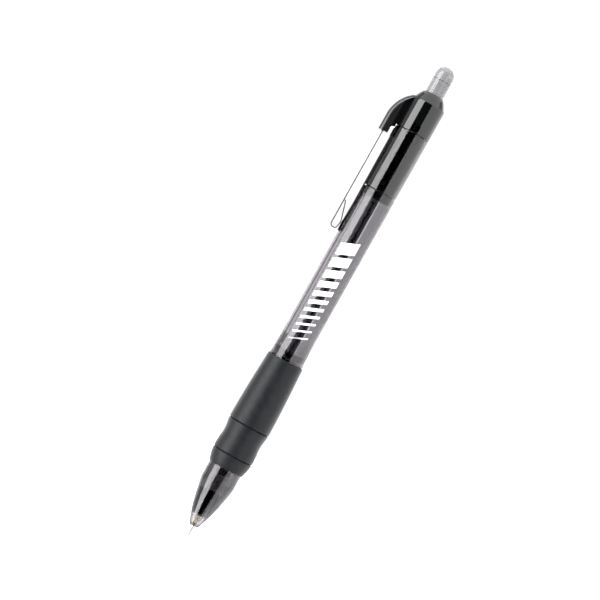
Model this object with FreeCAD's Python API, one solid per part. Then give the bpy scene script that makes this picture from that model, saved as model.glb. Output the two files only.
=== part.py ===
"""Retractable gel pen: smoke-clear barrel, contoured rubber grip, sprung steel clip, cam-ring click
mechanism and needle-point refill.

Millimetres. +Z runs along the pen from the writing point to the push button, and the clip is on the
-X side. The origin is the writing point with the pen clicked out and latched, which is the rest state.
"""

import FreeCAD
import Part
import math
import os

Vector = FreeCAD.Vector
UP = Vector(0, 0, 1)

# Length stations along the axis, at rest.
OVERALL_LENGTH = 142.0
NOSE_END = 3.0
NOSE_LAND_START = 17.0
GRIP_BOTTOM = 20.5
BARREL_SKIRT_BOTTOM = 47.2
GRIP_TOP = 53.2
SPIGOT_TOP = 55.1
FLARE_TOP = 63.0
LOWER_SEAM = 104.1
UPPER_SEAM = 122.0
CAP_TOP = 133.6
SEAM_GAP = 0.06
SEAM_CHAMFER = 0.12

# Radii of the outer shells.
NOSE_LAND_RADIUS = 4.8
BARREL_WAIST_RADIUS = 4.7
BARREL_TOP_RADIUS = 4.86
CAP_RADIUS = 4.9
GRIP_LIP_RADIUS = 4.88
NOSE_BORE = 1.5
NOSE_MOUTH = 0.95
GRIP_SEAT_RADIUS = 4.1
SPIGOT_RADIUS = 3.45
SHELL_BORE = 3.98
CAP_SPIGOT_RADIUS = 4.34
CAP_SPIGOT_TOP = 125.2
SNAP_WINDOW_WIDTH = 2.2
SNAP_WINDOW_BOTTOM = 122.5
SNAP_WINDOW_TOP = 124.3

# Click mechanism: guide sleeve, thrust cam under the button, and rotor on the refill.
STROKE_UP = 5.5
STROKE_DOWN = 1.3
SLEEVE_BOTTOM = 102.0
SLEEVE_TOP = 131.3
SLEEVE_RADIUS = 3.85
SLEEVE_COLLAR_RADIUS = 3.96
GROOVE_RADIUS = 3.4
LAND_RADIUS = 2.8
LAND_BOTTOM = 113.4
GROOVE_TOP = 127.7
RIB_RADIUS = 3.3
RIB_ANGLE = 14.0
RIB_COUNT = 4
CAM_BODY_RADIUS = 2.65
LAND_ANGLE = 18.0
STEP_ANGLE = 45.0
TURN_PER_MM = STEP_ANGLE / STROKE_UP
LAND_CENTRE_ANGLE = -(STROKE_DOWN * TURN_PER_MM + RIB_ANGLE / 2 + LAND_ANGLE / 2 + 1.2)
GROOVE_CENTRE_ANGLE = LAND_CENTRE_ANGLE + 180.0 / RIB_COUNT
TOOTH_COUNT = 8
TOOTH_HEIGHT = 0.9
TOOTH_WIDTH = 1.35
ROTOR_BOTTOM = 107.0
ROTOR_SHOULDER = 113.3
THRUST_SHOULDER = ROTOR_SHOULDER + 2 * TOOTH_HEIGHT + 0.15
BUTTON_BOTTOM = 124.0
BUTTON_RADIUS = 2.7
BUTTON_BORE = 2.1
BUTTON_CEILING = 138.0
THRUST_STEM_TOP = 135.8

# Refill.
REFILL_TOP = 110.0
TUBE_RADIUS = 1.6
TUBE_BORE = 0.75
TUBE_BOTTOM = 21.0
PLUG_FLANGE_BOTTOM = 109.2
HOLDER_COLLAR_BOTTOM = 18.6
HOLDER_COLLAR_TOP = 27.0
HOLDER_COLLAR_RADIUS = 2.1
HOLDER_STEM_RADIUS = 1.18
CONE_TOP = 6.6
CONE_BOTTOM = 2.55
CONE_RADIUS = 1.0
SOCKET_TOP = 10.0
NEEDLE_RADIUS = 0.32
BALL_RADIUS = 0.25
NEEDLE_LIP = 0.1
INK_TOP = 101.0
FOLLOWER_TOP = 105.5

# Return spring, shown compressed between the nose's inner shoulder and the refill's collar.
SPRING_SEAT = 13.6
SPRING_BORE = 2.6
SPRING_WIRE = 0.36
SPRING_MEAN_RADIUS = 1.95
SPRING_COILS = 9

# Clip and the arm that holds it.
ARM_OUTSIDE = 8.65
ARM_INSIDE = 5.95
ARM_BOTTOM = 118.8
ARM_NOTCH_TOP = 121.05
ARM_STRAIGHT_TOP = 123.2
ARM_CURVE_RADIUS = 9.9
ARM_TOP = 131.0
ARM_WIDTH = 5.6
ARM_ROUNDING = 1.25
CLIP_OUTSIDE = 7.6
CLIP_THICKNESS = 0.3
CLIP_CROWN = 0.16
CLIP_ROOT_WIDTH = 4.2
CLIP_TIP_WIDTH = 3.4
CLIP_ROOT_TOP = 123.4
CLIP_PIVOT_HEIGHT = 119.6
CLIP_SWING = 6.0
LOOP_WIDTH = 3.3
LOOP_TOP = 98.0
LOOP_BOTTOM = 90.0
LOOP_CONTACT_HEIGHT = 92.3
LOOP_CONTACT_GAP = 0.08
REST_BOTTOM = 90.0
REST_TOP = 121.0
REST_THICKNESS = 0.22
REST_GAP = 0.02
REST_WIDTH = 3.8
REST_ROUNDING = 0.9
SLOT_CLEARANCE = 0.1


def line(a, b):
    """Straight edge in the XZ plane between two (radius, height) points."""
    return Part.makeLine(Vector(a[0], 0, a[1]), Vector(b[0], 0, b[1]))


def path(points):
    """Straight edges through the (radius, height) points, in order."""
    return [line(a, b) for a, b in zip(points, points[1:])]


def curve(points, start_tangent=None, end_tangent=None):
    """Smooth edge through the (radius, height) points, with optional end directions."""
    spline = Part.BSplineCurve()
    places = [Vector(r, 0, z) for r, z in points]
    if start_tangent is None:
        spline.interpolate(Points=places)
    else:
        spline.interpolate(
            Points=places,
            InitialTangent=Vector(start_tangent[0], 0, start_tangent[1]),
            FinalTangent=Vector(end_tangent[0], 0, end_tangent[1]),
        )
    return spline.toShape()


def rounded_path(corners, radii):
    """Open wire through the (radius, height) corners, each inner corner rounded by its radius."""
    places = [Vector(r, 0, z) for r, z in corners]
    edges = []
    start = places[0]
    for before, corner, after, radius in zip(places, places[1:], places[2:], radii):
        back = (before - corner).normalize()
        ahead = (after - corner).normalize()
        half_angle = back.getAngle(ahead) / 2
        reach = radius / math.tan(half_angle)
        middle_way = (back + ahead).normalize() * (radius / math.sin(half_angle) - radius)
        entry = corner + back * reach
        leave = corner + ahead * reach
        edges.append(Part.makeLine(start, entry))
        edges.append(Part.Arc(entry, corner + middle_way, leave).toShape())
        start = leave
    edges.append(Part.makeLine(start, places[-1]))
    return Part.Wire(edges)


def turned(edges):
    """Solid of revolution about Z of the closed outline made by the edges."""
    face = Part.Face(Part.Wire(Part.__sortEdges__(edges)))
    return face.revolve(Vector(0, 0, 0), UP, 360)


def turned_polygon(points):
    """Solid of revolution about Z of a closed polygon of (radius, height) points."""
    return turned(path(points + points[:1]))


def tube(outer, inner, bottom, top):
    """Plain round tube."""
    solid = Part.makeCylinder(outer, top - bottom, Vector(0, 0, bottom))
    return solid.cut(Part.makeCylinder(inner, top - bottom, Vector(0, 0, bottom)))


def sector(radius, bottom, top, centre_angle, width_angle):
    """Wedge of a cylinder about Z, between two angles."""
    wedge = Part.makeCylinder(radius, top - bottom, Vector(0, 0, bottom), UP, width_angle)
    wedge.rotate(Vector(0, 0, 0), UP, centre_angle - width_angle / 2)
    return wedge


def ribs(outer, inner, bottom, top, centre_angle, width_angle):
    """Equally spaced ribs around Z that stand out from inner to outer."""
    core = Part.makeCylinder(inner, top - bottom, Vector(0, 0, bottom))
    wedges = [
        sector(outer, bottom, top, centre_angle + k * 360.0 / RIB_COUNT, width_angle).cut(core)
        for k in range(RIB_COUNT)
    ]
    return Part.makeCompound(wedges)


def crown(outer, inner, shoulder, points_up):
    """Ring of sawtooth cam teeth on a shoulder, pointing up or down."""
    rise = TOOTH_HEIGHT if points_up else -TOOTH_HEIGHT
    sink = -0.2 if points_up else 0.2
    half = TOOTH_WIDTH / 2
    corners = [
        Vector(0, -half, shoulder + sink),
        Vector(0, half, shoulder + sink),
        Vector(0, half, shoulder + rise),
        Vector(0, -half, shoulder),
    ]
    profile = Part.Face(Part.makePolygon(corners + corners[:1]))
    tooth = profile.extrude(Vector(outer + 1.0, 0, 0))
    bottom = min(shoulder + sink, shoulder + rise)
    ring = tube(outer, inner, bottom, bottom + TOOTH_HEIGHT + 0.2)
    teeth = []
    for k in range(TOOTH_COUNT):
        copy = tooth.copy()
        copy.rotate(Vector(0, 0, 0), UP, (k + 0.5) * 360.0 / TOOTH_COUNT)
        teeth.append(copy.common(ring))
    return teeth


def coil(mean_radius, wire, bottom, top, turns):
    """Round-wire compression spring between two heights, its end coils cut flat."""
    pitch = (top - bottom) / turns
    helix = Part.makeHelix(pitch, top - bottom, mean_radius)
    helix.translate(Vector(0, 0, bottom))
    slope = pitch / (2 * math.pi * mean_radius)
    section = Part.Wire(
        Part.makeCircle(wire / 2, Vector(mean_radius, 0, bottom), Vector(0, 1, slope))
    )
    swept = Part.Wire(helix.Edges).makePipeShell([section], True, True)
    slab = Part.makeCylinder(mean_radius + wire, top - bottom, Vector(0, 0, bottom))
    return swept.common(slab)


def front_section():
    """Clear nose, grip seat and the spigot that screws into the barrel."""
    nose = curve(
        [(1.25, 3.08), (1.9, 4.5), (2.68, 6.6), (3.58, 9.8), (4.28, 13.2), (NOSE_LAND_RADIUS, NOSE_LAND_START)],
        (0.75, 1.0),
        (0.0, 1.0),
    )
    shell = path(
        [
            (NOSE_LAND_RADIUS, NOSE_LAND_START),
            (NOSE_LAND_RADIUS, GRIP_BOTTOM),
            (GRIP_SEAT_RADIUS, GRIP_BOTTOM),
            (GRIP_SEAT_RADIUS, BARREL_SKIRT_BOTTOM),
            (SPIGOT_RADIUS, BARREL_SKIRT_BOTTOM),
            (SPIGOT_RADIUS, SPIGOT_TOP - 0.3),
            (SPIGOT_RADIUS - 0.3, SPIGOT_TOP),
            (2.75, SPIGOT_TOP),
            (2.75, 28.0),
            (SPRING_BORE, 27.4),
            (SPRING_BORE, SPRING_SEAT),
            (NOSE_BORE, SPRING_SEAT),
            (NOSE_BORE, 6.4),
            (NOSE_MOUTH, 4.1),
            (NOSE_MOUTH, NOSE_END),
            (1.15, NOSE_END),
            (1.25, 3.08),
        ]
    )
    return turned([nose] + shell)


def barrel():
    """Clear lower barrel: flares over the top of the grip, with a skirt that the grip covers."""
    outside = curve(
        [(5.02, GRIP_TOP), (4.84, 55.9), (4.73, 59.4), (BARREL_WAIST_RADIUS, FLARE_TOP)],
        (-0.3, 1.0),
        (0.0, 1.0),
    )
    rest = path(
        [
            (BARREL_WAIST_RADIUS, FLARE_TOP),
            (BARREL_TOP_RADIUS, LOWER_SEAM - SEAM_GAP - SEAM_CHAMFER),
            (BARREL_TOP_RADIUS - SEAM_CHAMFER, LOWER_SEAM - SEAM_GAP),
            (SHELL_BORE, LOWER_SEAM - SEAM_GAP),
            (SHELL_BORE, SLEEVE_BOTTOM - 0.4),
            (3.86, SLEEVE_BOTTOM - 0.8),
            (3.72, SPIGOT_TOP + 0.7),
            (SPIGOT_RADIUS + 0.05, SPIGOT_TOP + 0.3),
            (SPIGOT_RADIUS + 0.05, BARREL_SKIRT_BOTTOM),
            (GRIP_SEAT_RADIUS, BARREL_SKIRT_BOTTOM),
            (GRIP_SEAT_RADIUS, GRIP_TOP),
            (5.02, GRIP_TOP),
        ]
    )
    return turned([outside] + rest)


def upper_barrel():
    """Clear ring between the two seams, with a spigot and two snap tabs inside the cap."""
    bottom = LOWER_SEAM + SEAM_GAP
    top = UPPER_SEAM - SEAM_GAP
    ring = turned_polygon(
        [
            (SHELL_BORE, bottom),
            (BARREL_TOP_RADIUS - SEAM_CHAMFER, bottom),
            (BARREL_TOP_RADIUS, bottom + SEAM_CHAMFER),
            (CAP_RADIUS, top - SEAM_CHAMFER),
            (CAP_RADIUS - SEAM_CHAMFER, top),
            (CAP_SPIGOT_RADIUS, top),
            (CAP_SPIGOT_RADIUS, CAP_SPIGOT_TOP - 0.2),
            (CAP_SPIGOT_RADIUS - 0.2, CAP_SPIGOT_TOP),
            (SHELL_BORE, CAP_SPIGOT_TOP),
        ]
    )
    tab_limit = Part.makeCylinder(CAP_RADIUS - 0.06, CAP_SPIGOT_TOP - UPPER_SEAM, Vector(0, 0, UPPER_SEAM))
    tabs = snap_window(CAP_RADIUS).common(tab_limit)
    return ring.fuse(tabs).removeSplitter()


def barrel_wall(height):
    """Outer radius of the clear barrel or of the ring above it, at a height over the flare."""
    if height <= LOWER_SEAM:
        climb = (height - FLARE_TOP) / (LOWER_SEAM - FLARE_TOP)
        return BARREL_WAIST_RADIUS + (BARREL_TOP_RADIUS - BARREL_WAIST_RADIUS) * climb
    climb = (height - LOWER_SEAM) / (UPPER_SEAM - LOWER_SEAM)
    return BARREL_TOP_RADIUS + (CAP_RADIUS - BARREL_TOP_RADIUS) * climb


def clip_rest():
    """Thin black strip along the barrel's side that the clip's rolled end bears on."""
    heights = [REST_BOTTOM, LOWER_SEAM, REST_TOP]
    under = [(barrel_wall(height) + REST_GAP, height) for height in heights]
    over = [(radius + REST_THICKNESS, height) for radius, height in reversed(under)]
    band = turned_polygon(under + over)
    reach = CAP_RADIUS + 1.0
    limit = Part.makeBox(
        reach, REST_WIDTH, REST_TOP - REST_BOTTOM, Vector(-reach, -REST_WIDTH / 2, REST_BOTTOM)
    )
    corners = [e for e in limit.Edges if e.Length > REST_WIDTH + 1 and e.CenterOfMass.z < REST_BOTTOM + 1]
    return band.common(limit.makeFillet(REST_ROUNDING, corners))


def rubber_grip():
    """Soft sleeve: long taper, waist between two thin grooves, and a rounded front end."""
    groove_depth = 0.28
    groove_half = 0.22
    lower_groove = 24.4
    upper_groove = 33.2
    front = curve(
        [(GRIP_LIP_RADIUS, GRIP_BOTTOM), (5.24, 21.5), (5.57, 22.9), (5.73, lower_groove - groove_half)],
        (0.5, 1.0),
        (0.06, 1.0),
    )
    waist = curve(
        [
            (5.76, lower_groove + groove_half),
            (5.72, 26.3),
            (5.40, 29.0),
            (5.60, 31.6),
            (5.80, upper_groove - groove_half),
        ],
        (0.02, 1.0),
        (0.12, 1.0),
    )
    taper = curve(
        [(5.83, upper_groove + groove_half), (5.80, 36.5), (5.55, 44.5), (5.14, GRIP_TOP - 0.25)],
        (0.01, 1.0),
        (-0.04, 1.0),
    )
    lower_notch = path(
        [
            (5.73, lower_groove - groove_half),
            (5.75 - groove_depth, lower_groove),
            (5.76, lower_groove + groove_half),
        ]
    )
    upper_notch = path(
        [
            (5.80, upper_groove - groove_half),
            (5.81 - groove_depth, upper_groove),
            (5.83, upper_groove + groove_half),
        ]
    )
    bore = path(
        [
            (5.14, GRIP_TOP - 0.25),
            (4.92, GRIP_TOP),
            (GRIP_SEAT_RADIUS, GRIP_TOP),
            (GRIP_SEAT_RADIUS, GRIP_BOTTOM),
            (GRIP_LIP_RADIUS, GRIP_BOTTOM),
        ]
    )
    return turned([front, waist, taper] + lower_notch + upper_notch + bore)


def clip_arm():
    """Curved fin on the cap that reaches over the barrel and grips the clip's root."""
    curve_centre = Vector(-ARM_OUTSIDE + ARM_CURVE_RADIUS, 0, ARM_STRAIGHT_TOP)
    rise = ARM_TOP - ARM_STRAIGHT_TOP
    run = math.sqrt(ARM_CURVE_RADIUS**2 - rise**2)
    middle_angle = math.atan2(rise, run) / 2
    middle = curve_centre + Vector(
        -ARM_CURVE_RADIUS * math.cos(middle_angle), 0, ARM_CURVE_RADIUS * math.sin(middle_angle)
    )
    top = curve_centre + Vector(-run, 0, rise)
    low_outside = Vector(-ARM_OUTSIDE, 0, ARM_BOTTOM)
    high_outside = Vector(-ARM_OUTSIDE, 0, ARM_STRAIGHT_TOP)
    low_inside = Vector(-ARM_INSIDE, 0, ARM_BOTTOM)
    notch_foot = Vector(-ARM_INSIDE, 0, ARM_NOTCH_TOP - 0.7)
    notch_middle = Vector(-ARM_INSIDE + 0.2, 0, ARM_NOTCH_TOP - 0.2)
    notch_top = Vector(-ARM_INSIDE + 0.7, 0, ARM_NOTCH_TOP)
    high_inside = Vector(-CAP_RADIUS - 0.08, 0, ARM_NOTCH_TOP + 0.1)
    core = Vector(-2.0, 0, UPPER_SEAM)
    core_edge = Vector(-CAP_RADIUS - 0.08, 0, UPPER_SEAM)
    core_top = Vector(-2.0, 0, ARM_TOP)
    edges = [
        Part.makeLine(low_outside, high_outside),
        Part.Arc(high_outside, middle, top).toShape(),
        Part.makeLine(top, core_top),
        Part.makeLine(core_top, core),
        Part.makeLine(core, core_edge),
        Part.makeLine(core_edge, high_inside),
        Part.makeLine(high_inside, notch_top),
        Part.Arc(notch_top, notch_middle, notch_foot).toShape(),
        Part.makeLine(notch_foot, low_inside),
        Part.makeLine(low_inside, low_outside),
    ]
    face = Part.Face(Part.Wire(edges))
    face.translate(Vector(0, -ARM_WIDTH / 2, 0))
    fin = face.extrude(Vector(0, ARM_WIDTH, 0))
    long_edges = [
        e
        for e in fin.Edges
        if abs(abs(e.CenterOfMass.y) - ARM_WIDTH / 2) < 1e-6
        and e.CenterOfMass.x < -ARM_INSIDE - 0.3
        and e.CenterOfMass.z > ARM_BOTTOM + 0.5
    ]
    return fin.makeFillet(ARM_ROUNDING, long_edges)


def clip_slot():
    """Slot up into the arm, flared so that the clip's root can tip inwards as the clip lifts."""
    outside = CLIP_OUTSIDE + SLOT_CLEARANCE
    inside = CLIP_OUTSIDE - CLIP_THICKNESS - CLIP_CROWN - SLOT_CLEARANCE
    top = CLIP_ROOT_TOP + SLOT_CLEARANCE
    swing = (top - CLIP_PIVOT_HEIGHT) * math.tan(math.radians(CLIP_SWING)) + 0.05
    corners = [
        Vector(-outside, 0, ARM_BOTTOM - 1),
        Vector(-outside, 0, top),
        Vector(-inside + swing, 0, top),
        Vector(-inside, 0, CLIP_PIVOT_HEIGHT - 0.2),
        Vector(-inside, 0, ARM_BOTTOM - 1),
    ]
    face = Part.Face(Part.makePolygon(corners + corners[:1]))
    width = CLIP_ROOT_WIDTH + 2 * SLOT_CLEARANCE
    face.translate(Vector(0, -width / 2, 0))
    return face.extrude(Vector(0, width, 0))


def snap_window(outer):
    """Pair of blocks, front and back, where the upper barrel's snap tabs fill the cap's windows."""
    width = SNAP_WINDOW_WIDTH
    height = SNAP_WINDOW_TOP - SNAP_WINDOW_BOTTOM
    block = Part.makeBox(width, 2 * outer, height, Vector(-width / 2, -outer, SNAP_WINDOW_BOTTOM))
    return block.cut(Part.makeCylinder(SHELL_BORE, height, Vector(0, 0, SNAP_WINDOW_BOTTOM)))


def top_cap():
    """Black cap with a bevelled shoulder, the button's opening, snap windows and the clip arm."""
    shoulder = Part.Arc(
        Vector(CAP_RADIUS, 0, 130.3), Vector(4.85, 0, 130.72), Vector(4.68, 0, 131.05)
    ).toShape()
    rim = Part.Arc(
        Vector(3.7, 0, 132.7), Vector(3.45, 0, 133.06), Vector(3.1, 0, CAP_TOP - 0.1)
    ).toShape()
    bore = path(
        [
            (3.1, CAP_TOP - 0.1),
            (BUTTON_RADIUS + 0.2, CAP_TOP - 0.02),
            (BUTTON_RADIUS + 0.1, CAP_TOP - 0.12),
            (BUTTON_RADIUS + 0.1, SLEEVE_TOP + 0.1),
            (SLEEVE_RADIUS + 0.05, SLEEVE_TOP + 0.1),
            (SLEEVE_RADIUS + 0.05, CAP_SPIGOT_TOP + 0.05),
            (CAP_SPIGOT_RADIUS + 0.02, CAP_SPIGOT_TOP + 0.05),
            (CAP_SPIGOT_RADIUS + 0.02, UPPER_SEAM),
            (CAP_RADIUS - SEAM_CHAMFER, UPPER_SEAM),
            (CAP_RADIUS, UPPER_SEAM + SEAM_CHAMFER),
            (CAP_RADIUS, 130.3),
        ]
    )
    shell = turned([shoulder, line((4.68, 131.05), (3.7, 132.7)), rim] + bore)
    inside = Part.makeCylinder(CAP_SPIGOT_RADIUS + 0.2, ARM_TOP - ARM_BOTTOM, Vector(0, 0, ARM_BOTTOM))
    arm = clip_arm().cut(inside)
    whole = shell.fuse(arm).removeSplitter()
    return whole.cut(snap_window(CAP_RADIUS + 1.0)).cut(clip_slot())


def clip():
    """Sprung steel strip with a crowned face, its free end rolled into a flat teardrop loop."""
    crown_radius = (CLIP_ROOT_WIDTH / 2) ** 2 / (2 * CLIP_CROWN)
    axis_x = -CLIP_OUTSIDE + crown_radius
    height = CLIP_ROOT_TOP - LOOP_TOP + 0.8
    foot = Vector(axis_x, 0, LOOP_TOP - 0.8)
    skin = Part.makeCylinder(crown_radius, height, foot)
    skin = skin.cut(Part.makeCylinder(crown_radius - CLIP_THICKNESS, height, foot))
    taper = [
        Vector(-CLIP_OUTSIDE - 1, -CLIP_TIP_WIDTH / 2, LOOP_TOP - 0.8),
        Vector(-CLIP_OUTSIDE - 1, CLIP_TIP_WIDTH / 2, LOOP_TOP - 0.8),
        Vector(-CLIP_OUTSIDE - 1, CLIP_ROOT_WIDTH / 2, ARM_BOTTOM - 3.0),
        Vector(-CLIP_OUTSIDE - 1, CLIP_ROOT_WIDTH / 2, CLIP_ROOT_TOP),
        Vector(-CLIP_OUTSIDE - 1, -CLIP_ROOT_WIDTH / 2, CLIP_ROOT_TOP),
        Vector(-CLIP_OUTSIDE - 1, -CLIP_ROOT_WIDTH / 2, ARM_BOTTOM - 3.0),
    ]
    face = Part.Face(Part.makePolygon(taper + taper[:1]))
    strip = skin.common(face.extrude(Vector(3.0, 0, 0)))
    return strip.fuse(clip_loop()).removeSplitter()


def clip_loop():
    """Rolled end of the clip: down the outside, round the bottom, in to its rest and back up."""
    inner_face = -CLIP_OUTSIDE + CLIP_CROWN + CLIP_THICKNESS
    base = LOOP_BOTTOM + CLIP_THICKNESS
    wall = barrel_wall(LOOP_CONTACT_HEIGHT) + REST_GAP + REST_THICKNESS
    bend_inset = 0.1
    contact = -(wall + LOOP_CONTACT_GAP + CLIP_THICKNESS) + bend_inset
    inner_skin = rounded_path(
        [
            (inner_face, LOOP_TOP + 0.6),
            (inner_face, base),
            (inner_face + 1.4, base),
            (contact, LOOP_CONTACT_HEIGHT),
            (inner_face + 0.34, LOOP_TOP - 0.65),
            (inner_face + 0.04, LOOP_TOP - 0.1),
        ],
        [0.75, 0.5, 1.85, 0.8],
    )
    band = inner_skin.makeOffset2D(-CLIP_THICKNESS, 0, True, True)
    band.translate(Vector(0, -LOOP_WIDTH / 2, 0))
    return band.Faces[0].extrude(Vector(0, LOOP_WIDTH, 0))


def cam_guide():
    """Black guide sleeve: four lands inside, a bevelled foot and two locating collars."""
    body = turned_polygon(
        [
            (GROOVE_RADIUS, SLEEVE_BOTTOM),
            (SLEEVE_RADIUS - 0.25, SLEEVE_BOTTOM),
            (SLEEVE_RADIUS, SLEEVE_BOTTOM + 0.25),
            (SLEEVE_RADIUS, LOWER_SEAM - 0.2),
            (SLEEVE_COLLAR_RADIUS, LOWER_SEAM - 0.2),
            (SLEEVE_COLLAR_RADIUS, LOWER_SEAM + 0.2),
            (SLEEVE_RADIUS, LOWER_SEAM + 0.2),
            (SLEEVE_RADIUS, UPPER_SEAM - 0.8),
            (SLEEVE_COLLAR_RADIUS, UPPER_SEAM - 0.8),
            (SLEEVE_COLLAR_RADIUS, UPPER_SEAM - 0.05),
            (SLEEVE_RADIUS, UPPER_SEAM - 0.05),
            (SLEEVE_RADIUS, SLEEVE_TOP),
            (LAND_RADIUS, SLEEVE_TOP),
            (LAND_RADIUS, GROOVE_TOP),
            (GROOVE_RADIUS, GROOVE_TOP),
        ]
    )
    lands = ribs(
        GROOVE_RADIUS + 0.1, LAND_RADIUS, LAND_BOTTOM, GROOVE_TOP + 0.1, LAND_CENTRE_ANGLE, LAND_ANGLE
    )
    return body.fuse(lands.Solids).removeSplitter()


def push_button():
    """Clear domed button, hollow below its ceiling."""
    dome_base = OVERALL_LENGTH - BUTTON_RADIUS
    spread = BUTTON_RADIUS * math.sin(math.radians(45))
    dome = Part.Arc(
        Vector(BUTTON_RADIUS, 0, dome_base),
        Vector(spread, 0, dome_base + spread),
        Vector(0, 0, OVERALL_LENGTH),
    ).toShape()
    hollow = path(
        [
            (0, OVERALL_LENGTH),
            (0, BUTTON_CEILING),
            (BUTTON_BORE - 0.2, BUTTON_CEILING),
            (BUTTON_BORE, BUTTON_CEILING - 0.2),
            (BUTTON_BORE, BUTTON_BOTTOM),
            (BUTTON_RADIUS, BUTTON_BOTTOM),
            (BUTTON_RADIUS, dome_base),
        ]
    )
    return turned([dome] + hollow)


def thrust_cam():
    """Plunger pressed into the button, with guide ribs and a crown that drives the rotor."""
    body = turned_polygon(
        [
            (1.2, THRUST_SHOULDER),
            (CAM_BODY_RADIUS, THRUST_SHOULDER),
            (CAM_BODY_RADIUS, BUTTON_BOTTOM),
            (BUTTON_BORE - 0.03, BUTTON_BOTTOM),
            (BUTTON_BORE - 0.03, THRUST_STEM_TOP - 0.3),
            (BUTTON_BORE - 0.33, THRUST_STEM_TOP),
            (0, THRUST_STEM_TOP),
            (0, 120.6),
            (1.2, 120.0),
        ]
    )
    guides = ribs(
        RIB_RADIUS, CAM_BODY_RADIUS - 0.1, THRUST_SHOULDER + 0.4, 122.0, GROOVE_CENTRE_ANGLE, RIB_ANGLE
    )
    teeth = crown(CAM_BODY_RADIUS, 1.4, THRUST_SHOULDER, False)
    return body.fuse(guides.Solids + teeth).removeSplitter()


def rotor_cam():
    """Rotor that indexes round the guide: socket for the refill, four ribs, sawtooth crown and pin."""
    body = turned_polygon(
        [
            (TUBE_RADIUS + 0.08, ROTOR_BOTTOM),
            (CAM_BODY_RADIUS, ROTOR_BOTTOM),
            (CAM_BODY_RADIUS, ROTOR_SHOULDER),
            (1.1, ROTOR_SHOULDER),
            (1.1, 117.8),
            (0.8, 118.2),
            (0, 118.2),
            (0, REFILL_TOP + 0.05),
            (TUBE_RADIUS + 0.08, REFILL_TOP + 0.05),
        ]
    )
    wings = ribs(RIB_RADIUS, CAM_BODY_RADIUS - 0.1, 109.6, LAND_BOTTOM - 0.2, 0.0, RIB_ANGLE)
    teeth = crown(CAM_BODY_RADIUS, 1.4, ROTOR_SHOULDER, True)
    return body.fuse(wings.Solids + teeth).removeSplitter()


def return_spring():
    """Compression spring around the refill's stem."""
    return coil(
        SPRING_MEAN_RADIUS, SPRING_WIRE, SPRING_SEAT + 0.03, HOLDER_COLLAR_BOTTOM - 0.03, SPRING_COILS
    )


def refill_tube():
    """Translucent ink tube."""
    return tube(TUBE_RADIUS, TUBE_BORE, TUBE_BOTTOM, PLUG_FLANGE_BOTTOM)


def refill_end_plug():
    """Vented stopper in the refill's rear end."""
    return turned_polygon(
        [
            (0.25, 106.5),
            (TUBE_BORE - 0.1, 106.5),
            (TUBE_BORE, 106.8),
            (TUBE_BORE, PLUG_FLANGE_BOTTOM),
            (TUBE_RADIUS, PLUG_FLANGE_BOTTOM),
            (TUBE_RADIUS, REFILL_TOP - 0.2),
            (TUBE_RADIUS - 0.2, REFILL_TOP),
            (0.25, REFILL_TOP),
        ]
    )


def gel_ink():
    """Column of gel ink, from the metal tip up the holder's channel and the tube."""
    return turned_polygon(
        [
            (0, SOCKET_TOP),
            (0.5, SOCKET_TOP),
            (0.5, TUBE_BOTTOM),
            (TUBE_BORE, TUBE_BOTTOM),
            (TUBE_BORE, INK_TOP),
            (0, INK_TOP),
        ]
    )


def ink_follower():
    """Grease plug that follows the ink down the tube."""
    return Part.makeCylinder(TUBE_BORE, FOLLOWER_TOP - INK_TOP, Vector(0, 0, INK_TOP))


def tip_holder():
    """Black plastic holder: collar for the spring, socket for the tube and stem for the metal tip."""
    return turned_polygon(
        [
            (CONE_RADIUS, CONE_TOP),
            (HOLDER_STEM_RADIUS - 0.15, CONE_TOP),
            (HOLDER_STEM_RADIUS, CONE_TOP + 0.4),
            (HOLDER_STEM_RADIUS, HOLDER_COLLAR_BOTTOM),
            (HOLDER_COLLAR_RADIUS - 0.1, HOLDER_COLLAR_BOTTOM),
            (HOLDER_COLLAR_RADIUS, HOLDER_COLLAR_BOTTOM + 0.1),
            (HOLDER_COLLAR_RADIUS, HOLDER_COLLAR_TOP - 0.4),
            (HOLDER_COLLAR_RADIUS - 0.3, HOLDER_COLLAR_TOP),
            (TUBE_RADIUS, HOLDER_COLLAR_TOP),
            (TUBE_RADIUS, TUBE_BOTTOM),
            (0.5, TUBE_BOTTOM),
            (0.5, SOCKET_TOP),
            (CONE_RADIUS, SOCKET_TOP),
        ]
    )


def tip_cone():
    """Nickel-silver cone that carries the needle."""
    return turned_polygon(
        [
            (NEEDLE_RADIUS, CONE_BOTTOM),
            (NEEDLE_RADIUS + 0.08, CONE_BOTTOM),
            (0.5, CONE_BOTTOM + 0.2),
            (0.84, 5.9),
            (CONE_RADIUS, 6.3),
            (CONE_RADIUS, SOCKET_TOP),
            (0.3, SOCKET_TOP),
            (0.3, 6.0),
            (NEEDLE_RADIUS, 6.0),
        ]
    )


def needle_pipe():
    """Stainless needle, opened out at its mouth to seat the ball."""
    return turned_polygon(
        [
            (BALL_RADIUS + 0.01, NEEDLE_LIP),
            (BALL_RADIUS + 0.03, NEEDLE_LIP),
            (NEEDLE_RADIUS, NEEDLE_LIP + 0.22),
            (NEEDLE_RADIUS, 6.0),
            (0.2, 6.0),
            (0.2, 0.62),
            (BALL_RADIUS + 0.01, 0.5),
        ]
    )


def point_ball():
    """Writing ball."""
    return Part.makeSphere(BALL_RADIUS, Vector(0, 0, BALL_RADIUS))


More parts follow.
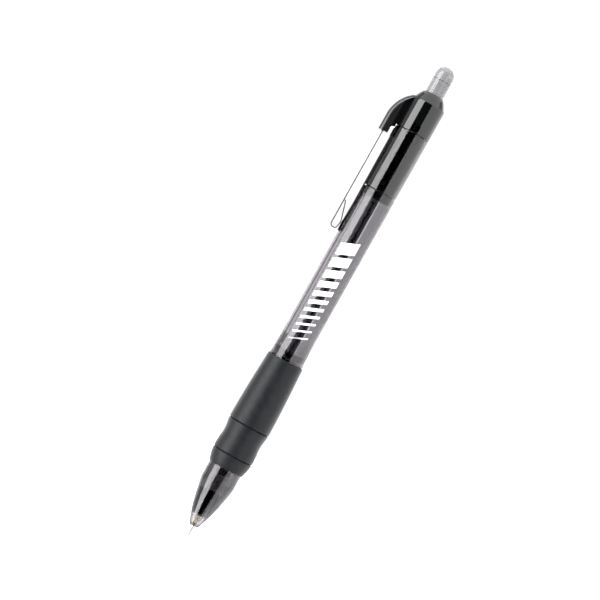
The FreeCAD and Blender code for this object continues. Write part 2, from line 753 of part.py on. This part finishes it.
PIECES = {
    "front_section": front_section,
    "barrel": barrel,
    "upper_barrel": upper_barrel,
    "clip_rest": clip_rest,
    "rubber_grip": rubber_grip,
    "top_cap": top_cap,
    "clip": clip,
    "cam_guide": cam_guide,
    "push_button": push_button,
    "thrust_cam": thrust_cam,
    "rotor_cam": rotor_cam,
    "return_spring": return_spring,
    "refill_tube": refill_tube,
    "refill_end_plug": refill_end_plug,
    "gel_ink": gel_ink,
    "ink_follower": ink_follower,
    "tip_holder": tip_holder,
    "tip_cone": tip_cone,
    "needle_pipe": needle_pipe,
    "point_ball": point_ball,
}

os.makedirs("parts", exist_ok=True)
for name, make in PIECES.items():
    shape = make()
    print(f"{name}: solids {len(shape.Solids)}, valid {shape.isValid()}, {shape.Volume:.3f} mm3")
    shape.exportStep(f"parts/{name}.step")
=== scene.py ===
import math

import bpy
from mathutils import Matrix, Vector


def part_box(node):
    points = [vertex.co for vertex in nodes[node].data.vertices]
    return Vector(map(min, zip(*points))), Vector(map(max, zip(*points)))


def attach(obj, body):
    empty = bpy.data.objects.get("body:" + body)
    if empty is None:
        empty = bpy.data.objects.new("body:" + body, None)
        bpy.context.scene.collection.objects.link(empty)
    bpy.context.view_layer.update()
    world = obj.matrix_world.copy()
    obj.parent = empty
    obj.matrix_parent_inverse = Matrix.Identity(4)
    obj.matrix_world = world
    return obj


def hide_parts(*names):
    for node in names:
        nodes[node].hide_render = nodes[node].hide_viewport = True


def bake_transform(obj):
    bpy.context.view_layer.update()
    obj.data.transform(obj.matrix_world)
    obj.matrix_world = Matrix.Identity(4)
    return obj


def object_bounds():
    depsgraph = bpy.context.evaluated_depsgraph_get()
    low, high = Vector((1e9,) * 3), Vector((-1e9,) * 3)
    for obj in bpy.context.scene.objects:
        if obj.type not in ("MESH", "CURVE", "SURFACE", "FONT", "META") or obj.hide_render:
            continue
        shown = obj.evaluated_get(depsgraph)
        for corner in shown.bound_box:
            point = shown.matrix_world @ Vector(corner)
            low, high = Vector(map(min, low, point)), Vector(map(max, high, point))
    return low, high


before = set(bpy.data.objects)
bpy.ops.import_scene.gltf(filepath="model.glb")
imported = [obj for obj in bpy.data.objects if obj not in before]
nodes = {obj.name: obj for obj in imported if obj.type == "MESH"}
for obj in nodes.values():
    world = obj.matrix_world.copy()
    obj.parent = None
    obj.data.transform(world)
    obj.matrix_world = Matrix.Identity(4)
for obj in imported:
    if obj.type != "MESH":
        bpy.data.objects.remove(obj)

MM = 0.001
cad_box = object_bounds()

# Corners of the pieces' boxes, read from the frame.
BARREL_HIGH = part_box("barrel")[1]
SPRING_LOW, SPRING_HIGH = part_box("return_spring")
CAP_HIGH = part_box("top_cap")[1]
BUTTON_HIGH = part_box("push_button")[1]
PEN_LOW = cad_box[0]

# The clear barrel narrows to a waist above the grip and widens evenly up to its top.
WAIST_RADIUS = 4.70 * MM
WAIST_HEIGHT = 63.0 * MM
BARREL_TOP_RADIUS = 4.86 * MM

# The cap's arm, which lies beyond this x, is less polished than the cap's round body.
ARM_START = -5.6 * MM
ARM_BLEND = 0.5 * MM
ARM_ROUGHNESS = 0.27

# The button's hollow ends about half way up the part that shows; where its edge would be seen as a line, a
# dark ring of painted shade is put in the base colour.
HOLLOW_SHARE = 0.49
HOLLOW_END = BUTTON_HIGH.z - HOLLOW_SHARE * (BUTTON_HIGH.z - CAP_HIGH.z)
HOLLOW_SHADE_HALF = 0.09 * MM

# Spring wire and coils.
WIRE_RADIUS = 0.18 * MM
SPRING_TURNS = 9
STEPS_PER_TURN = 40
WIRE_SIDES = 12
END_CLOSENESS = 0.35

# Printed bars: a rank that starts at the top and gets thinner downwards.
PRINT_TOP = 88.5 * MM
PRINT_HALF_WIDTH = 2.45 * MM
PRINT_SLANT = 1.0 * MM
PRINT_LIFTS = (0.004 * MM, 0.022 * MM)
FIRST_BAR = 3.4 * MM
THINNEST_BAR = 0.35 * MM
BAR_SHRINK = 0.8
FIRST_GAP = 1.0 * MM
GAP_GROWTH = 1.06
BAR_ROWS = 6
BAR_COLUMNS = 28

# Sockets of the mix node's colour mode, which share their names with its other modes.
MIX_COLOR_A = 6
MIX_COLOR_B = 7
MIX_COLOR_RESULT = 2

# Camera: level with the pen's middle, rolled so that the pen leans to the right.
CAMERA_DISTANCE = 0.70
CAMERA_ROLL = math.radians(29.2)
VIEW_WIDTH = 0.1590
VIEW_CENTRE_X = -0.0045
VIEW_CENTRE_Z = 0.0690
SENSOR_WIDTH = 36.0

# Black card between the camera and the pen; its edges are given as angles seen from the pen.
CARD_DISTANCE = 0.55
CARD_LEFT = math.radians(31.0)
CARD_RIGHT = math.radians(22.5)
CARD_LOW = -0.60
CARD_HIGH = 0.75

# Floor disc, a hair below the point.
FLOOR_RADIUS = 0.45
FLOOR_SIDES = 96
FLOOR_GAP = 0.2 * MM


# ---------------------------------------------------------------------------------------------
# Materials
# ---------------------------------------------------------------------------------------------

def new_material(name, color, roughness, metallic=0.0, ior=1.5, transmission=0.0):
    """Principled material with its uniform values on the shader's own sockets."""
    material = bpy.data.materials.new(name)
    material.use_nodes = True
    shader = material.node_tree.nodes["Principled BSDF"]
    shader.inputs["Base Color"].default_value = (*color, 1.0)
    shader.inputs["Roughness"].default_value = roughness
    shader.inputs["Metallic"].default_value = metallic
    shader.inputs["IOR"].default_value = ior
    shader.inputs["Transmission Weight"].default_value = transmission
    return material, shader


def object_coordinates(tree, stretch=(1.0, 1.0, 1.0)):
    """Object-space position, in metres, scaled along each axis."""
    coordinates = tree.nodes.new("ShaderNodeTexCoord")
    mapping = tree.nodes.new("ShaderNodeMapping")
    mapping.inputs["Scale"].default_value = stretch
    tree.links.new(coordinates.outputs["Object"], mapping.inputs["Vector"])
    return mapping.outputs["Vector"]


def coordinate(tree, axis):
    """Object-space position along one axis, in metres."""
    split = tree.nodes.new("ShaderNodeSeparateXYZ")
    tree.links.new(object_coordinates(tree), split.inputs["Vector"])
    return split.outputs[axis]


def noise(tree, size, detail=3.0, stretch=(1.0, 1.0, 1.0)):
    """Noise whose features are about `size` metres across."""
    texture = tree.nodes.new("ShaderNodeTexNoise")
    texture.inputs["Scale"].default_value = 1.0 / size
    texture.inputs["Detail"].default_value = detail
    texture.inputs["Roughness"].default_value = 0.5
    tree.links.new(object_coordinates(tree, stretch), texture.inputs["Vector"])
    return texture.outputs["Fac"]


def spread(tree, factor, low, high, start=0.3, end=0.7):
    """Maps a factor from start..end onto low..high."""
    ramp = tree.nodes.new("ShaderNodeMapRange")
    ramp.inputs["From Min"].default_value = start
    ramp.inputs["From Max"].default_value = end
    ramp.inputs["To Min"].default_value = low
    ramp.inputs["To Max"].default_value = high
    tree.links.new(factor, ramp.inputs["Value"])
    return ramp.outputs["Result"]


def vary_roughness(material, shader, size, low, high, stretch=(1.0, 1.0, 1.0)):
    """Roughness that drifts over the surface, as handling and moulding leave it."""
    tree = material.node_tree
    tree.links.new(spread(tree, noise(tree, size, stretch=stretch), low, high), shader.inputs["Roughness"])


def vary_color(material, shader, size, dark, light, stretch=(1.0, 1.0, 1.0)):
    """Base colour that drifts between two close tones."""
    tree = material.node_tree
    ramp = tree.nodes.new("ShaderNodeValToRGB")
    ramp.color_ramp.elements[0].position = 0.3
    ramp.color_ramp.elements[0].color = (*dark, 1.0)
    ramp.color_ramp.elements[1].position = 0.7
    ramp.color_ramp.elements[1].color = (*light, 1.0)
    tree.links.new(noise(tree, size, stretch=stretch), ramp.inputs["Fac"])
    tree.links.new(ramp.outputs["Color"], shader.inputs["Base Color"])


def add_bump(material, shader, size, depth, detail=2.0, stretch=(1.0, 1.0, 1.0)):
    """Fine relief of the given depth, in metres."""
    tree = material.node_tree
    bump = tree.nodes.new("ShaderNodeBump")
    bump.inputs["Strength"].default_value = 1.0
    bump.inputs["Distance"].default_value = depth
    tree.links.new(noise(tree, size, detail, stretch), bump.inputs["Height"])
    tree.links.new(bump.outputs["Normal"], shader.inputs["Normal"])


def absorb(material, color, density):
    """Tint that deepens with thickness: density is per metre."""
    tree = material.node_tree
    volume = tree.nodes.new("ShaderNodeVolumeAbsorption")
    volume.inputs["Color"].default_value = (*color, 1.0)
    volume.inputs["Density"].default_value = density
    tree.links.new(volume.outputs["Volume"], tree.nodes["Material Output"].inputs["Volume"])


def clear_plastic(name, tint, density):
    """Polished clear moulding with a faint flow pattern."""
    material, shader = new_material(name, (1.0, 1.0, 1.0), 0.02, transmission=1.0)
    vary_roughness(material, shader, 9 * MM, 0.012, 0.03, stretch=(1.0, 1.0, 0.3))
    absorb(material, tint, density)
    return material


def black_gloss():
    """Polished black moulding of the cap, duller on its arm."""
    material, shader = new_material("cap_black_gloss", (0.0012, 0.0014, 0.0016), 0.04)
    vary_color(material, shader, 4 * MM, (0.0009, 0.0010, 0.0012), (0.0016, 0.0018, 0.0021))
    tree = material.node_tree
    polish = spread(tree, noise(tree, 5 * MM), 0.03, 0.055)
    arm = spread(tree, coordinate(tree, "X"), ARM_ROUGHNESS, 0.0, ARM_START - ARM_BLEND, ARM_START)
    total = tree.nodes.new("ShaderNodeMath")
    total.operation = "ADD"
    tree.links.new(polish, total.inputs[0])
    tree.links.new(arm, total.inputs[1])
    tree.links.new(total.outputs["Value"], shader.inputs["Roughness"])
    add_bump(material, shader, 1.2 * MM, 0.0012 * MM)
    return material


def grip_rubber():
    """Soft matte rubber with a fine moulded grain."""
    material, shader = new_material("grip_rubber", (0.0052, 0.0061, 0.0074), 0.45)
    shader.inputs["Specular IOR Level"].default_value = 0.17
    vary_color(material, shader, 1.6 * MM, (0.0040, 0.0048, 0.0060), (0.0064, 0.0075, 0.0090))
    vary_roughness(material, shader, 0.7 * MM, 0.40, 0.48)
    add_bump(material, shader, 0.16 * MM, 0.006 * MM, detail=3.0)
    return material


def satin_plastic(name, dark, light, low=0.25, high=0.4):
    """Unpolished moulding for the mechanism's parts."""
    material, shader = new_material(name, light, (low + high) / 2)
    vary_color(material, shader, 1.5 * MM, dark, light)
    vary_roughness(material, shader, 0.8 * MM, low, high)
    add_bump(material, shader, 0.3 * MM, 0.003 * MM)
    return material


def metal(name, dark, light, low, high, grain=(1.0, 1.0, 1.0), depth=0.0006 * MM):
    """Bare metal, its grain stretched the way it was drawn or turned."""
    material, shader = new_material(name, light, (low + high) / 2, metallic=1.0)
    vary_color(material, shader, 1.0 * MM, dark, light, stretch=grain)
    vary_roughness(material, shader, 0.35 * MM, low, high, stretch=grain)
    add_bump(material, shader, 0.12 * MM, depth, stretch=grain)
    return material


def add_painted_hollow_shade(material, shader):
    """Painted shade: a dark ring in the base colour where the button's hollow ends, standing in for its
    edge seen through the wall.
    """
    tree = material.node_tree
    line = tree.nodes.new("ShaderNodeMath")
    line.operation = "COMPARE"
    line.inputs[1].default_value = HOLLOW_END
    line.inputs[2].default_value = HOLLOW_SHADE_HALF
    tree.links.new(coordinate(tree, "Z"), line.inputs[0])
    mix = tree.nodes.new("ShaderNodeMix")
    mix.data_type = "RGBA"
    plain_color = shader.inputs["Base Color"].links[0].from_socket
    tree.links.new(line.outputs["Value"], mix.inputs["Factor"])
    tree.links.new(plain_color, mix.inputs[MIX_COLOR_A])
    # Colour of the painted shade ring.
    mix.inputs[MIX_COLOR_B].default_value = (0.09, 0.09, 0.10, 1.0)
    tree.links.new(mix.outputs[MIX_COLOR_RESULT], shader.inputs["Base Color"])


def clear_grey_plastic():
    """Light grey, half-clear plastic of the button."""
    grey = (0.23, 0.225, 0.235)
    material, shader = new_material("button_clear_grey", grey, 0.08, ior=1.45, transmission=0.5)
    vary_color(material, shader, 2.5 * MM, (0.215, 0.21, 0.22), (0.245, 0.24, 0.25))
    # Dark ring of painted shade at the hollow's end, not the button's own colour.
    add_painted_hollow_shade(material, shader)
    vary_roughness(material, shader, 3 * MM, 0.06, 0.11)
    absorb(material, (0.50, 0.49, 0.52), 60.0)
    return material


def tube_plastic():
    """Frosted wall of the refill."""
    material, shader = new_material("refill_tube_frosted", (0.92, 0.92, 0.94), 0.1, transmission=1.0)
    vary_roughness(material, shader, 2 * MM, 0.06, 0.14, stretch=(1.0, 1.0, 0.2))
    return material


def wet(name, dark, light):
    """Ink or grease: wet and glossy."""
    material, shader = new_material(name, light, 0.1)
    vary_color(material, shader, 2 * MM, dark, light, stretch=(1.0, 1.0, 0.4))
    vary_roughness(material, shader, 1.5 * MM, 0.06, 0.14)
    return material


def print_ink():
    """Opaque white pad print."""
    material, shader = new_material("white_print", (0.9, 0.9, 0.9), 0.45)
    vary_color(material, shader, 0.5 * MM, (0.86, 0.86, 0.86), (0.93, 0.93, 0.93))
    vary_roughness(material, shader, 0.4 * MM, 0.4, 0.55)
    return material


def black_felt():
    """Dead black cloth of the studio card."""
    material, shader = new_material("black_felt", (0.0, 0.0, 0.0), 1.0)
    shader.inputs["Specular IOR Level"].default_value = 0.0
    vary_color(material, shader, 20 * MM, (0.0, 0.0, 0.0), (0.001, 0.001, 0.001))
    return material


def pale_floor():
    """Plain white sweep."""
    material, shader = new_material("pale_floor", (0.93, 0.93, 0.93), 0.6)
    vary_color(material, shader, 60 * MM, (0.92, 0.92, 0.92), (0.94, 0.94, 0.94))
    return material


def paint(name, material):
    """Gives every slot of a CAD node the material."""
    mesh = nodes[name].data
    mesh.materials.clear()
    mesh.materials.append(material)


def dress_cad_nodes():
    """The better material for each CAD node that stays."""
    smoke = (0.52, 0.50, 0.53)
    drawn = (1.0, 1.0, 0.1)
    rolled = (1.0, 1.0, 0.05)
    turned = (1.0, 1.0, 6.0)
    nose = clear_plastic("nose_smoke", smoke, 1250.0)
    shell = clear_plastic("barrel_smoke", smoke, 1800.0)
    black_inside = satin_plastic("inner_black", (0.011, 0.011, 0.013), (0.015, 0.015, 0.0175), 0.10, 0.18)
    acetal = satin_plastic("natural_acetal", (0.40, 0.395, 0.41), (0.47, 0.465, 0.48))
    gloss = black_gloss()
    finishes = {
        "front_section": nose,
        "barrel": shell,
        "upper_barrel": shell,
        "rubber_grip": grip_rubber(),
        "top_cap": gloss,
        "clip_rest": gloss,
        "clip": metal("clip_spring_steel", (0.37, 0.37, 0.36), (0.44, 0.44, 0.43), 0.22, 0.30, rolled),
        "cam_guide": black_inside,
        "push_button": clear_grey_plastic(),
        "thrust_cam": acetal,
        "rotor_cam": acetal,
        "refill_tube": tube_plastic(),
        "refill_end_plug": acetal,
        "gel_ink": wet("gel_ink_black", (0.001, 0.001, 0.0016), (0.002, 0.002, 0.003)),
        "ink_follower": wet("follower_grease", (0.42, 0.41, 0.38), (0.50, 0.49, 0.46)),
        "tip_holder": black_inside,
        "tip_cone": metal("nickel_silver", (0.56, 0.49, 0.37), (0.68, 0.60, 0.47), 0.10, 0.16, turned),
        "needle_pipe": metal("needle_steel", (0.22, 0.22, 0.22), (0.30, 0.30, 0.30), 0.30, 0.38, drawn),
        "point_ball": metal("ball_carbide", (0.36, 0.36, 0.37), (0.46, 0.46, 0.47), 0.08, 0.14),
    }
    for name, material in finishes.items():
        paint(name, material)


# ---------------------------------------------------------------------------------------------
# Pieces made here
# ---------------------------------------------------------------------------------------------

def mesh_object(name, vertices, faces, material, smooth=True):
    """Mesh object from plain lists."""
    mesh = bpy.data.meshes.new(name)
    mesh.from_pydata(vertices, [], faces)
    mesh.update()
    mesh.materials.append(material)
    for polygon in mesh.polygons:
        polygon.use_smooth = smooth
    piece = bpy.data.objects.new(name, mesh)
    bpy.context.scene.collection.objects.link(piece)
    return piece


def spring_ring(share, low, high):
    """One ring of the wire's section, `share` of the way up the coil between two heights."""
    mean = SPRING_HIGH.x - WIRE_RADIUS
    angle = 2 * math.pi * SPRING_TURNS * share
    climb = share - END_CLOSENESS / SPRING_TURNS * math.sin(2 * math.pi * share) / (2 * math.pi)
    centre = Vector((mean * math.cos(angle), mean * math.sin(angle), low + (high - low) * climb))
    outward = Vector((math.cos(angle), math.sin(angle), 0.0))
    up = Vector((0.0, 0.0, 1.0))
    ring = []
    for k in range(WIRE_SIDES):
        around = 2 * math.pi * k / WIRE_SIDES
        ring.append(centre + WIRE_RADIUS * (math.cos(around) * outward + math.sin(around) * up))
    return ring


def make_spring():
    """Round-wire return spring, its coils a little closer towards both ends."""
    low = SPRING_LOW.z + WIRE_RADIUS
    high = SPRING_HIGH.z - WIRE_RADIUS
    steps = SPRING_TURNS * STEPS_PER_TURN
    vertices = []
    for i in range(steps + 1):
        vertices += spring_ring(i / steps, low, high)
    faces = []
    for i in range(steps):
        for k in range(WIRE_SIDES):
            a = i * WIRE_SIDES + k
            b = i * WIRE_SIDES + (k + 1) % WIRE_SIDES
            faces.append((a, b, b + WIRE_SIDES, a + WIRE_SIDES))
    faces.append(tuple(range(WIRE_SIDES)))
    faces.append(tuple(reversed(range(steps * WIRE_SIDES, (steps + 1) * WIRE_SIDES))))
    steel = metal("spring_steel", (0.50, 0.50, 0.50), (0.64, 0.64, 0.64), 0.2, 0.3)
    spring = mesh_object("return_spring_coil", vertices, faces, steel)
    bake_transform(spring)
    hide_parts("return_spring")


def barrel_radius(z):
    """Outer radius of the clear barrel above its flare, at height z."""
    climb = (z - WAIST_HEIGHT) / (BARREL_HIGH.z - WAIST_HEIGHT)
    return WAIST_RADIUS + (BARREL_TOP_RADIUS - WAIST_RADIUS) * climb


def bar_vertices(low, high, lift):
    """Grid of points at one lift off the barrel; the bar's ends lean by the slant."""
    points = []
    for i in range(BAR_ROWS + 1):
        for j in range(BAR_COLUMNS + 1):
            across = -1.0 + 2.0 * j / BAR_COLUMNS
            z = low + (high - low) * i / BAR_ROWS + PRINT_SLANT * across
            radius = barrel_radius(z) + lift
            angle = across * PRINT_HALF_WIDTH / radius
            points.append((radius * math.sin(angle), -radius * math.cos(angle), z))
    return points


def bar_faces():
    """Inner and outer skins of a bar, closed round their rim."""
    row = BAR_COLUMNS + 1
    layer = (BAR_ROWS + 1) * row
    faces = []
    for i in range(BAR_ROWS):
        for j in range(BAR_COLUMNS):
            a = i * row + j
            b, c, d = a + 1, a + row + 1, a + row
            faces.append((a + layer, b + layer, c + layer, d + layer))
            faces.append((d, c, b, a))
    rim = list(range(row))
    rim += [i * row + BAR_COLUMNS for i in range(1, BAR_ROWS + 1)]
    rim += [BAR_ROWS * row + j for j in range(BAR_COLUMNS - 1, -1, -1)]
    rim += [i * row for i in range(BAR_ROWS - 1, 0, -1)]
    for a, b in zip(rim, rim[1:] + rim[:1]):
        faces.append((a, b, b + layer, a + layer))
    return faces


def make_print():
    """Plain decoration: a rank of leaning bars that thin out towards the point."""
    top = PRINT_TOP
    thickness = FIRST_BAR
    gap = FIRST_GAP
    vertices = []
    faces = []
    while thickness > THINNEST_BAR:
        faces += [tuple(v + len(vertices) for v in face) for face in bar_faces()]
        for lift in PRINT_LIFTS:
            vertices += bar_vertices(top - thickness, top, lift)
        top -= thickness + gap
        thickness *= BAR_SHRINK
        gap *= GAP_GROWTH
    bars = mesh_object("barrel_print", vertices, faces, print_ink(), smooth=False)
    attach(bars, "barrel")


# ---------------------------------------------------------------------------------------------
# Studio
# ---------------------------------------------------------------------------------------------

def make_camera():
    """Long lens, level, rolled about the line of sight."""
    camera = bpy.data.cameras.new("camera")
    camera.sensor_width = SENSOR_WIDTH
    camera.lens = SENSOR_WIDTH * CAMERA_DISTANCE / VIEW_WIDTH
    camera.clip_start = 0.01
    rig = bpy.data.objects.new("camera", camera)
    rig.location = (VIEW_CENTRE_X, -CAMERA_DISTANCE, VIEW_CENTRE_Z)
    rig.rotation_mode = "XYZ"
    rig.rotation_euler = (math.radians(90.0), -CAMERA_ROLL, 0.0)
    bpy.context.scene.collection.objects.link(rig)
    bpy.context.scene.camera = rig


def panel(name, azimuth, distance, width, height, middle, radiance):
    """Soft panel facing the pen; azimuth is in degrees from the camera's side, positive to the right."""
    lamp = bpy.data.lights.new(name, "AREA")
    lamp.shape = "RECTANGLE"
    lamp.size = width
    lamp.size_y = height
    lamp.energy = radiance * math.pi * width * height
    rig = bpy.data.objects.new(name, lamp)
    turn = math.radians(azimuth)
    rig.location = (distance * math.sin(turn), -distance * math.cos(turn), middle)
    rig.rotation_mode = "XYZ"
    rig.rotation_euler = (math.radians(90.0), 0.0, turn)
    rig.visible_camera = False
    rig.visible_transmission = False
    bpy.context.scene.collection.objects.link(rig)
    return rig


def ceiling(name, height, size, radiance):
    """Soft panel overhead, facing down."""
    lamp = bpy.data.lights.new(name, "AREA")
    lamp.shape = "SQUARE"
    lamp.size = size
    lamp.energy = radiance * math.pi * size * size
    rig = bpy.data.objects.new(name, lamp)
    rig.location = (0.0, 0.0, height)
    rig.visible_camera = False
    rig.visible_transmission = False
    bpy.context.scene.collection.objects.link(rig)


def make_glow():
    """Small panel behind the barrel, seen only through its clear wall."""
    glow = panel("glow_behind_left", -152.0, 0.70, width=0.36, height=0.13, middle=0.09, radiance=2.6)
    glow.visible_glossy = False
    glow.visible_diffuse = False
    glow.visible_transmission = True


def make_lights():
    """Bright strip on the left, broad panels on the right, behind and overhead."""
    panel("key_strip", -52.5, distance=0.62, width=0.50, height=1.3, middle=0.05, radiance=8.0)
    panel("fill_right", 71.5, distance=0.62, width=1.42, height=1.5, middle=0.07, radiance=1.55)
    panel("rim_behind", 180.0, distance=0.75, width=3.0, height=1.5, middle=0.07, radiance=1.7)
    make_glow()
    ceiling("overhead", height=0.85, size=1.3, radiance=1.7)


def make_world():
    """White surround."""
    world = bpy.data.worlds.new("studio")
    world.use_nodes = True
    background = world.node_tree.nodes["Background"]
    background.inputs["Color"].default_value = (1.0, 1.0, 1.0, 1.0)
    background.inputs["Strength"].default_value = 1.02
    bpy.context.scene.world = world


def make_card():
    """Black card on the camera's side, which keeps the middle of every glossy face dark."""
    left = -CARD_DISTANCE * math.tan(CARD_LEFT)
    right = CARD_DISTANCE * math.tan(CARD_RIGHT)
    corners = [(left, CARD_LOW), (right, CARD_LOW), (right, CARD_HIGH), (left, CARD_HIGH)]
    vertices = [(x, -CARD_DISTANCE, z) for x, z in corners]
    card = mesh_object("black_card", vertices, [(0, 1, 2, 3)], black_felt())
    card.visible_camera = False
    card.visible_shadow = False


def make_floor():
    """Round pale floor under the point."""
    vertices = [(0.0, 0.0, 0.0)]
    for k in range(FLOOR_SIDES):
        angle = 2 * math.pi * k / FLOOR_SIDES
        vertices.append((FLOOR_RADIUS * math.cos(angle), FLOOR_RADIUS * math.sin(angle), 0.0))
    faces = [(0, 1 + k, 1 + (k + 1) % FLOOR_SIDES) for k in range(FLOOR_SIDES)]
    floor = mesh_object("floor", vertices, faces, pale_floor())
    floor.location.z = PEN_LOW.z - FLOOR_GAP
    floor.visible_glossy = False
    floor.visible_shadow = False


make_camera()
make_world()
make_lights()
make_card()
make_floor()
dress_cad_nodes()
make_spring()
make_print()
bpy.context.scene.view_settings.view_transform = "Standard"
